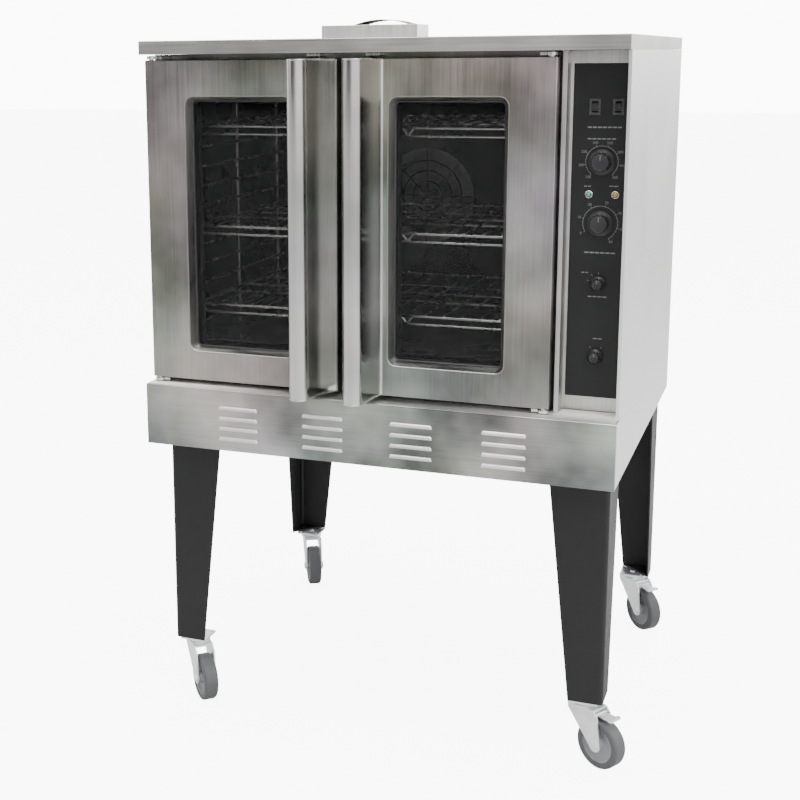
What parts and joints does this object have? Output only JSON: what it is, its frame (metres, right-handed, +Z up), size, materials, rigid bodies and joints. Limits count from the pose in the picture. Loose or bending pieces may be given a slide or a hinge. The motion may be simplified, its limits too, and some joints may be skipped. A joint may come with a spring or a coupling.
{
  "type": "convection oven",
  "caption": "Single-deck gas convection oven with twin glazed doors, side control bay, slide-in racks and a tapered-leg stand on swivel casters.",
  "frame": {"origin": "on the floor under the middle of the whole oven, handles and gas inlet included", "axes": "+X to the right of a person facing the doors, -Y out of the doors towards that person, +Z up"},
  "size_m": [0.9963, 0.9571, 1.4773],
  "materials": {
    "stainless": "brushed, horizontal and vertical grain",
    "side_stainless": "light satin stainless",
    "bright_steel": "bright finish",
    "handle_stainless": "polished along its length",
    "trim_steel": "satin bright trim",
    "galvanised": "galvanised sheet",
    "flue_steel": "heat-darkened sheet",
    "fascia_black": "satin black printed panel",
    "enamel": "black porcelain enamel",
    "enamel_grey": "dark speckled enamel",
    "mineral_wool": "mineral wool batt",
    "chrome_wire": "plated wire",
    "motor_blue": "semi-gloss paint",
    "burner_iron": "aluminised steel tube, heat-stained",
    "valve_alloy": "die-cast and pipe",
    "switch_plastic": "moulded",
    "lamp_amber": "translucent lens",
    "gasket_black": "woven door seal",
    "leg_black": "satin black powder coat",
    "zinc": "zinc plate",
    "wheel_grey": "grey tread and hub",
    "blower_aluminium": "aluminised",
    "oven_glass": "tempered, tinted",
    "knob_black": "moulded black"
  },
  "bodies": {
    "cabinet": {"lid": "stainless", "side_panels": "side_stainless", "back_panel": "galvanised", "base_pan": "galvanised", "skirt": "stainless", "face_frame": "stainless", "control_fascia": "fascia_black", "control_surround": "stainless", "compartment_wall": "galvanised", "oven_liner": "enamel", "insulation": "mineral_wool", "rack_guides": "chrome_wire", "fan_baffle": "enamel_grey", "fan_motor": "motor_blue", "burners": "burner_iron", "gas_train": "valve_alloy", "flue_duct": "galvanised", "flue_box": "stainless", "flue_hood": "flue_steel", "control_bodies": "switch_plastic", "indicator_lamps": "lamp_amber", "hinge_brackets": "bright_steel", "door_catches": "bright_steel", "door_gasket": "gasket_black", "legs": "leg_black", "caster_plates": "zinc", "screws": "bright_steel", "power_inlet": "switch_plastic"},
    "left_door": {"left_door_shell": "stainless", "left_door_liner": "enamel_grey", "left_glass": "oven_glass", "left_window_trim": "trim_steel", "left_handle": "handle_stainless", "left_hinge_pins": "bright_steel"},
    "right_door": {"right_door_shell": "stainless", "right_door_liner": "enamel_grey", "right_glass": "oven_glass", "right_window_trim": "trim_steel", "right_handle": "handle_stainless", "right_hinge_pins": "bright_steel"},
    "upper_rack": {"rack_upper": "chrome_wire"},
    "middle_rack": {"rack_middle": "chrome_wire"},
    "lower_rack": {"rack_lower": "chrome_wire"},
    "blower": {"blower_wheel": "blower_aluminium"},
    "thermostat_dial": {"thermostat_knob": "knob_black"},
    "timer_dial": {"timer_knob": "knob_black"},
    "mode_dial": {"mode_knob": "knob_black"},
    "fan_speed_dial": {"fan_speed_knob": "knob_black"},
    "power_switch": {"power_rocker": "knob_black"},
    "light_switch": {"light_rocker": "knob_black"},
    "caster_fl": {"caster_fork_fl": "zinc"},
    "wheel_fl": {"caster_wheel_fl": "wheel_grey"},
    "caster_fr": {"caster_fork_fr": "zinc"},
    "wheel_fr": {"caster_wheel_fr": "wheel_grey"},
    "brake_fr": {"brake_lever_fr": "zinc"},
    "caster_rl": {"caster_fork_rl": "zinc"},
    "wheel_rl": {"caster_wheel_rl": "wheel_grey"},
    "caster_rr": {"caster_fork_rr": "zinc"},
    "wheel_rr": {"caster_wheel_rr": "wheel_grey"},
    "brake_rr": {"brake_lever_rr": "zinc"}
  },
  "joints": [
    {"name": "left_door_swing", "type": "hinge", "parent": "cabinet", "child": "left_door", "pos_m": [-0.477, -0.369, 1.061], "axis": [0, 0, -1], "range_deg": [0, 120]},
    {"name": "right_door_swing", "type": "hinge", "parent": "cabinet", "child": "right_door", "pos_m": [0.329, -0.369, 1.061], "axis": [0, 0, 1], "range_deg": [0, 120]},
    {"name": "upper_rack_slide", "type": "slide", "parent": "cabinet", "child": "upper_rack", "axis": [0, -1, 0], "range_m": [-0.005, 0.024]},
    {"name": "middle_rack_slide", "type": "slide", "parent": "cabinet", "child": "middle_rack", "axis": [0, -1, 0], "range_m": [-0.005, 0.024]},
    {"name": "lower_rack_slide", "type": "slide", "parent": "cabinet", "child": "lower_rack", "axis": [0, -1, 0], "range_m": [-0.005, 0.024]},
    {"name": "blower_spin", "type": "hinge", "parent": "cabinet", "child": "blower", "pos_m": [-0.074, 0.309, 1.065], "axis": [0, 1, 0], "continuous": true},
    {"name": "thermostat_turn", "type": "hinge", "parent": "cabinet", "child": "thermostat_dial", "pos_m": [0.4155, -0.327, 1.196], "axis": [0, 1, 0], "range_deg": [0, 300]},
    {"name": "timer_turn", "type": "hinge", "parent": "cabinet", "child": "timer_dial", "pos_m": [0.416, -0.327, 1.083], "axis": [0, 1, 0], "range_deg": [0, 300]},
    {"name": "mode_turn", "type": "hinge", "parent": "cabinet", "child": "mode_dial", "pos_m": [0.416, -0.327, 0.97], "axis": [0, 1, 0], "range_deg": [0, 90]},
    {"name": "fan_speed_turn", "type": "hinge", "parent": "cabinet", "child": "fan_speed_dial", "pos_m": [0.415, -0.327, 0.831], "axis": [0, 1, 0], "range_deg": [0, 60]},
    {"name": "power_rock", "type": "hinge", "parent": "cabinet", "child": "power_switch", "pos_m": [0.4, -0.311, 1.296], "axis": [1, 0, 0], "range_deg": [-24, 0]},
    {"name": "light_rock", "type": "hinge", "parent": "cabinet", "child": "light_switch", "pos_m": [0.442, -0.311, 1.296], "axis": [1, 0, 0], "range_deg": [-24, 0]},
    {"name": "swivel_fl", "type": "hinge", "parent": "cabinet", "child": "caster_fl", "pos_m": [-0.438, -0.298, 0.12], "axis": [0, 0, 1], "continuous": true},
    {"name": "roll_fl", "type": "hinge", "parent": "caster_fl", "child": "wheel_fl", "pos_m": [-0.40731, -0.33091, 0.05], "axis": [0.7314, 0.682, 0], "continuous": true},
    {"name": "swivel_fr", "type": "hinge", "parent": "cabinet", "child": "caster_fr", "pos_m": [0.414, -0.298, 0.12], "axis": [0, 0, 1], "continuous": true},
    {"name": "roll_fr", "type": "hinge", "parent": "caster_fr", "child": "wheel_fr", "pos_m": [0.45297, -0.3205, 0.05], "axis": [0.5, 0.866, 0], "continuous": true},
    {"name": "brake_fr_press", "type": "hinge", "parent": "caster_fr", "child": "brake_fr", "pos_m": [0.44951, -0.3185, 0.11], "axis": [0.5, 0.866, 0], "range_deg": [0, 12]},
    {"name": "swivel_rl", "type": "hinge", "parent": "cabinet", "child": "caster_rl", "pos_m": [-0.438, 0.412, 0.12], "axis": [0, 0, 1], "continuous": true},
    {"name": "roll_rl", "type": "hinge", "parent": "caster_rl", "child": "wheel_rl", "pos_m": [-0.41687, 0.37227, 0.05], "axis": [0.8829, 0.4695, 0], "continuous": true},
    {"name": "swivel_rr", "type": "hinge", "parent": "cabinet", "child": "caster_rr", "pos_m": [0.414, 0.412, 0.12], "axis": [0, 0, 1], "continuous": true},
    {"name": "roll_rr", "type": "hinge", "parent": "caster_rr", "child": "wheel_rr", "pos_m": [0.44582, 0.38018, 0.05], "axis": [0.7071, 0.7071, 0], "continuous": true},
    {"name": "brake_rr_press", "type": "hinge", "parent": "caster_rr", "child": "brake_rr", "pos_m": [0.44299, 0.38301, 0.11], "axis": [0.7071, 0.7071, 0], "range_deg": [0, 12]}
  ]
}
